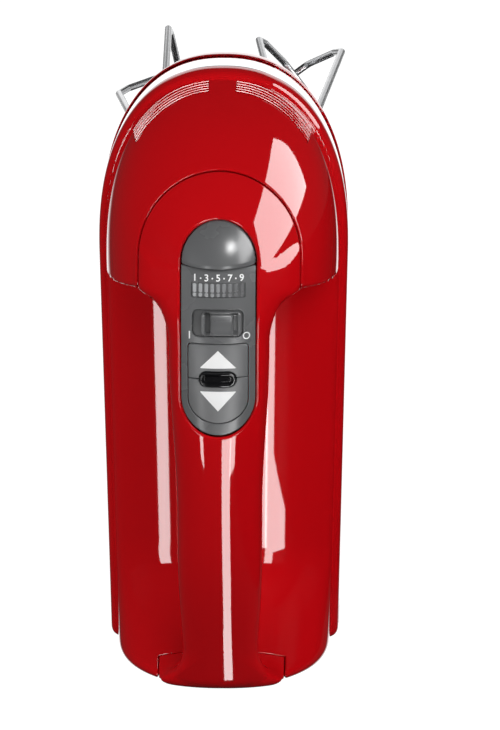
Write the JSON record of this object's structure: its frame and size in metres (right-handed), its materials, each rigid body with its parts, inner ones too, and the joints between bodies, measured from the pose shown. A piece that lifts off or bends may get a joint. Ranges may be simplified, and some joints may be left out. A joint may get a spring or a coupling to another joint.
{
  "type": "hand mixer",
  "caption": "Corded electric hand mixer with a loop handle, a slide switch and speed keys, a beater ejector and counter-rotating wire beaters.",
  "frame": {"origin": "centre of the heel pad's face, which it stands on, in line with the parting plane under the upper housing", "axes": "+Z from the heel to the nose, +Y out along the beaters, handle and controls on the -Y side, +X to the right seen from the handle"},
  "size_m": [0.0955, 0.2942, 0.2147],
  "materials": {
    "red_gloss": "gloss",
    "grey_satin": "satin",
    "black_gloss": "gloss",
    "black_plastic": "satin",
    "trim_chrome": "polished",
    "beater_chrome": "polished",
    "steel": "machined",
    "copper_wire": "enamelled",
    "brass": "satin",
    "nylon": "satin",
    "circuit_board": "satin",
    "heel_rubber": "matte",
    "carbon": "matte"
  },
  "bodies": {
    "housing": {"upper_housing": "red_gloss", "handle_cover": "red_gloss", "lower_housing": "red_gloss", "trim_band": "trim_chrome", "heel_pad": "heel_rubber", "cord_gland": "black_plastic", "key_switch_up": "black_plastic", "key_switch_down": "black_plastic", "power_switch": "black_plastic", "housing_screw_1": "steel", "housing_screw_2": "steel", "housing_screw_3": "steel", "housing_screw_4": "steel", "ejector_spring": "steel", "stator_core": "steel", "rear_bearing": "steel", "middle_bearing": "steel", "front_bearing": "steel", "rear_bridge": "steel", "gear_frame": "steel", "control_bezel": "grey_satin", "tactile_bar": "black_gloss", "display_lens": "black_gloss", "spring_seat": "nylon", "control_board": "circuit_board", "power_board": "circuit_board", "field_winding_upper": "copper_wire", "field_winding_lower": "copper_wire", "brush_holder_left": "brass", "brush_holder_right": "brass", "left_bush": "brass", "right_bush": "brass", "carbon_brush_left": "carbon", "carbon_brush_right": "carbon"},
    "rotor": {"motor_shaft": "steel", "armature_core": "steel", "armature_winding": "copper_wire", "commutator": "brass", "cooling_fan": "nylon"},
    "left_spindle": {"left_gear": "nylon", "left_socket": "steel"},
    "right_spindle": {"right_gear": "nylon", "right_socket": "steel"},
    "left_beater": {"left_beater_shaft": "beater_chrome", "left_beater_loop_a": "beater_chrome", "left_beater_loop_b": "beater_chrome"},
    "right_beater": {"right_beater_shaft": "beater_chrome", "right_beater_loop_a": "beater_chrome", "right_beater_loop_b": "beater_chrome"},
    "ejector": {"ejector_button": "grey_satin", "ejector_yoke": "nylon"},
    "power_slide": {"power_knob": "grey_satin"},
    "speed_up": {"speed_up_key": "grey_satin"},
    "speed_down": {"speed_down_key": "grey_satin"}
  },
  "joints": [
    {"name": "rotor_spin", "type": "hinge", "parent": "housing", "child": "rotor", "pos_m": [0, 0.019, 0.092], "axis": [0, 0, 1], "continuous": true},
    {"name": "left_socket_spin", "type": "hinge", "parent": "housing", "child": "left_spindle", "pos_m": [-0.0245, 0.02, 0.166], "axis": [0, 1, 0], "continuous": true},
    {"name": "right_socket_spin", "type": "hinge", "parent": "housing", "child": "right_spindle", "pos_m": [0.0245, 0.02, 0.166], "axis": [0, 1, 0], "continuous": true},
    {"name": "left_beater_pull", "type": "slide", "parent": "left_spindle", "child": "left_beater", "axis": [0, 1, 0], "range_m": [0, 0.065]},
    {"name": "right_beater_pull", "type": "slide", "parent": "right_spindle", "child": "right_beater", "axis": [0, 1, 0], "range_m": [0, 0.065]},
    {"name": "ejector_press", "type": "slide", "parent": "housing", "child": "ejector", "axis": [0, 1, 0], "range_m": [0, 0.006], "stiffness_N_per_m": 400, "springref_m": -0.002, "deforming": ["ejector_spring"]},
    {"name": "power_slide_move", "type": "slide", "parent": "housing", "child": "power_slide", "axis": [-1, 0, 0], "range_m": [0, 0.0024]},
    {"name": "speed_up_press", "type": "slide", "parent": "housing", "child": "speed_up", "axis": [0, 1, 0], "range_m": [0, 0.0008], "stiffness_N_per_m": 600, "springref_m": -0.0005},
    {"name": "speed_down_press", "type": "slide", "parent": "housing", "child": "speed_down", "axis": [0, 1, 0], "range_m": [0, 0.0008], "stiffness_N_per_m": 600, "springref_m": -0.0005}
  ],
  "couplings": [
    {"joint": "left_socket_spin", "follows": "rotor_spin", "ratio": 0.038462},
    {"joint": "right_socket_spin", "follows": "rotor_spin", "ratio": -0.038462}
  ]
}
